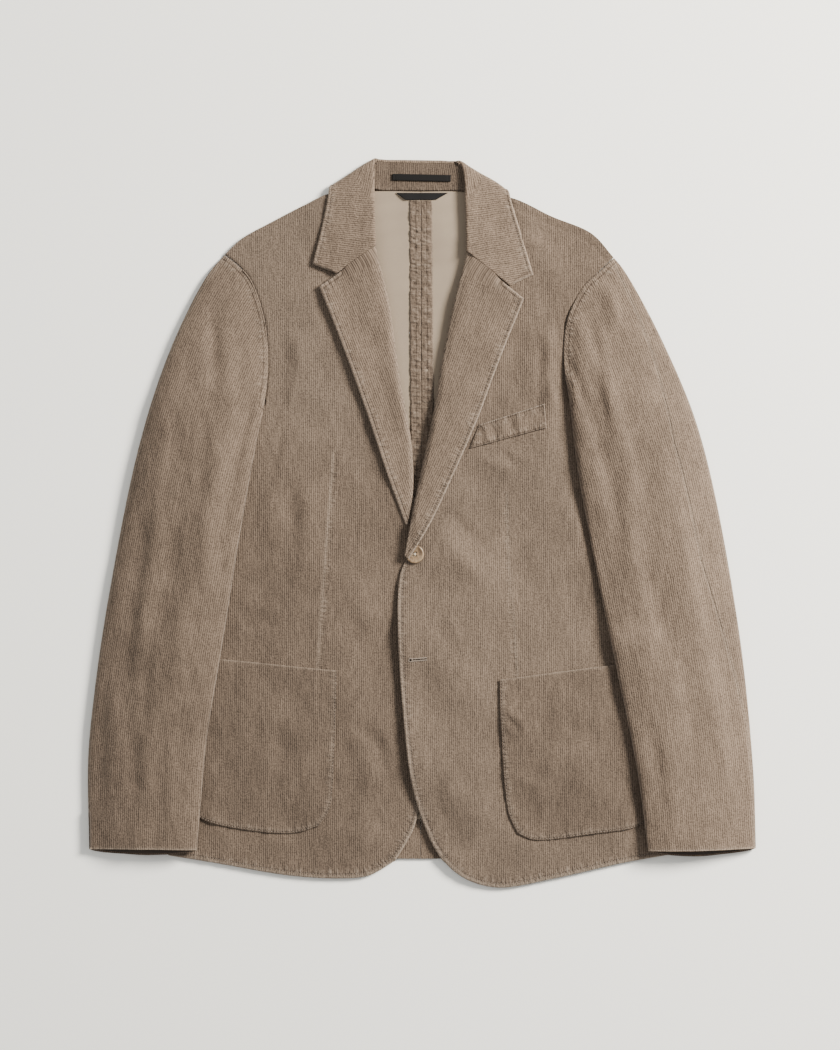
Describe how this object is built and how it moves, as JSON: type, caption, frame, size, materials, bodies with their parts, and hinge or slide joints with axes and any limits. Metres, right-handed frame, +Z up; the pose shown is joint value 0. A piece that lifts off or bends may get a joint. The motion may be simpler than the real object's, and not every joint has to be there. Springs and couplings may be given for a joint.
{
  "type": "corduroy jacket laid flat",
  "caption": "Single-breasted corduroy jacket laid flat on its back, fronts closed over each other, sleeves down the sides, notched collar and patch pockets.",
  "frame": {"origin": "middle of the outline, on the surface that the jacket lies on", "axes": "+X to the wearer's left, +Y up the body to the collar, +Z up from the surface through the back to the fronts"},
  "size_m": [0.7203, 0.7859, 0.0271],
  "materials": {
    "corduroy": "washed fine-wale cotton corduroy, taupe brown, lighter at worn edges",
    "inside_cloth": "plain matt greige back of the cloth",
    "black_ribbon": "black woven ribbon, slight sheen",
    "horn_button": "tan horn-like button, satin"
  },
  "bodies": {
    "root": {"back_left": "inside_cloth", "back_right": "inside_cloth", "seam_strip_left": "inside_cloth", "seam_strip_right": "inside_cloth", "front_left": "corduroy", "front_right": "corduroy", "lapel_left": "corduroy", "lapel_right": "corduroy", "sleeve_top_left": "corduroy", "sleeve_top_right": "corduroy", "sleeve_under_left": "corduroy", "sleeve_under_right": "corduroy", "pocket_left": "corduroy", "pocket_right": "corduroy", "breast_welt": "corduroy", "collar_fall": "corduroy", "collar_stand": "corduroy", "neck_tab": "black_ribbon", "hanger_loop": "black_ribbon", "button_upper": "horn_button", "button_lower": "horn_button"}
  },
  "joints": []
}
